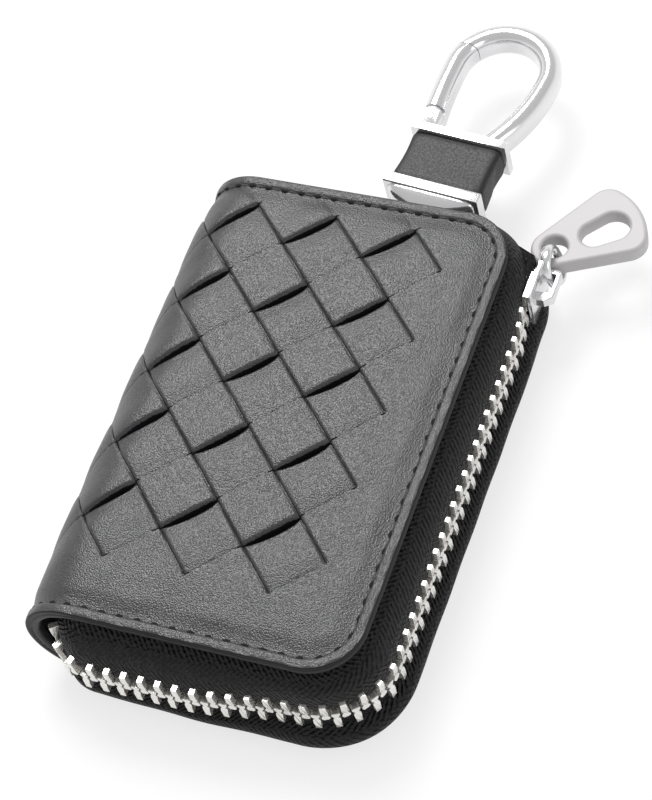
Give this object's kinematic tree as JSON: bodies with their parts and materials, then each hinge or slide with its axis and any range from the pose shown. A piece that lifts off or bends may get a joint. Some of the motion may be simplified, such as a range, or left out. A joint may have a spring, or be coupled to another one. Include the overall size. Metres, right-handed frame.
{
  "type": "key case",
  "caption": "Zip-around woven leather key case with a folded spine, a sprung snap hook on a leather strap, a pull tab and a split ring inside.",
  "frame": {"origin": "centre of the flat back cover, on the outer faces of its woven strips, where the case rests", "axes": "+X towards the zip side away from the spine, +Y along the case towards the hook, +Z out through the front cover"},
  "size_m": [0.0895, 0.1626, 0.025],
  "materials": {
    "outer_leather": "fine pebble grain, soft satin",
    "strip_leather": "fine pebble grain, soft satin",
    "smooth_leather": "smooth, satin",
    "leather_board": "raw bonded board",
    "lining_fabric": "fine woven cloth",
    "zip_tape": "herringbone weave",
    "zip_metal": "bright plated",
    "chrome_plate": "polished plate",
    "satin_metal": "satin plate",
    "steel": "plain steel"
  },
  "bodies": {
    "back": {"back_cover": "outer_leather", "back_board": "leather_board", "back_lining": "lining_fabric", "back_strips": "strip_leather", "back_tape": "zip_tape", "back_teeth": "zip_metal", "bottom_stop": "zip_metal", "back_fold": "outer_leather", "anchor_strap": "smooth_leather", "strap_rivets": "steel", "swing_pin": "steel"},
    "spine": {"spine_cover": "outer_leather", "spine_lining": "lining_fabric", "spine_strips": "strip_leather"},
    "front": {"front_cover": "outer_leather", "front_board": "leather_board", "front_lining": "lining_fabric", "front_strips": "strip_leather", "front_tape": "zip_tape", "front_teeth": "zip_metal", "front_fold": "outer_leather", "card_pocket": "smooth_leather"},
    "slider": {"slider_body": "chrome_plate"},
    "link": {"pull_link": "chrome_plate"},
    "puller": {"puller": "satin_metal"},
    "hook": {"hook_frame": "chrome_plate", "hook_band": "smooth_leather", "hook_shackle": "chrome_plate", "gate_pin": "steel", "gate_spring": "steel"},
    "gate": {"hook_gate": "chrome_plate"},
    "ring": {"key_ring": "steel"}
  },
  "joints": [
    {"name": "spine_fold", "type": "hinge", "parent": "back", "child": "spine", "pos_m": [-0.03653, 0, 0.00308], "axis": [0, -1, 0], "range_deg": [0, 90], "deforming": ["back_fold", "spine_lining", "spine_strips"]},
    {"name": "cover_fold", "type": "hinge", "parent": "spine", "child": "front", "pos_m": [-0.03653, 0, 0.02193], "axis": [0, -1, 0], "range_deg": [0, 90], "deforming": ["front_fold"]},
    {"name": "slider_travel", "type": "slide", "parent": "back", "child": "slider", "axis": [0, -1, 0], "range_m": [0, 0.068], "deforming": ["front_teeth", "back_teeth"]},
    {"name": "link_swing", "type": "hinge", "parent": "slider", "child": "link", "pos_m": [0.0329, 0.04625, 0.0125], "axis": [0, 0, 1], "range_deg": [-85, 3]},
    {"name": "puller_swing", "type": "hinge", "parent": "link", "child": "puller", "pos_m": [0.03193, 0.05318, 0.0125], "axis": [0, 0, 1], "range_deg": [-15, 80]},
    {"name": "hook_swing", "type": "hinge", "parent": "back", "child": "hook", "pos_m": [0.003, 0.0535, 0.0125], "axis": [0.9954, -0.0958, 0], "range_deg": [-45, 45]},
    {"name": "gate_open", "type": "hinge", "parent": "hook", "child": "gate", "pos_m": [-0.00204, 0.0789, 0.0125], "axis": [0, 0, -1], "range_deg": [0, 25], "stiffness_Nm_per_rad": 0.02, "springref_deg": -11.46},
    {"name": "ring_swing", "type": "hinge", "parent": "back", "child": "ring", "pos_m": [0.00041, 0.02662, 0.0065], "axis": [-0.9954, 0.0958, 0], "range_deg": [0, 30]}
  ],
  "couplings": [
    {"joint": "cover_fold", "follows": "spine_fold", "ratio": 1}
  ]
}
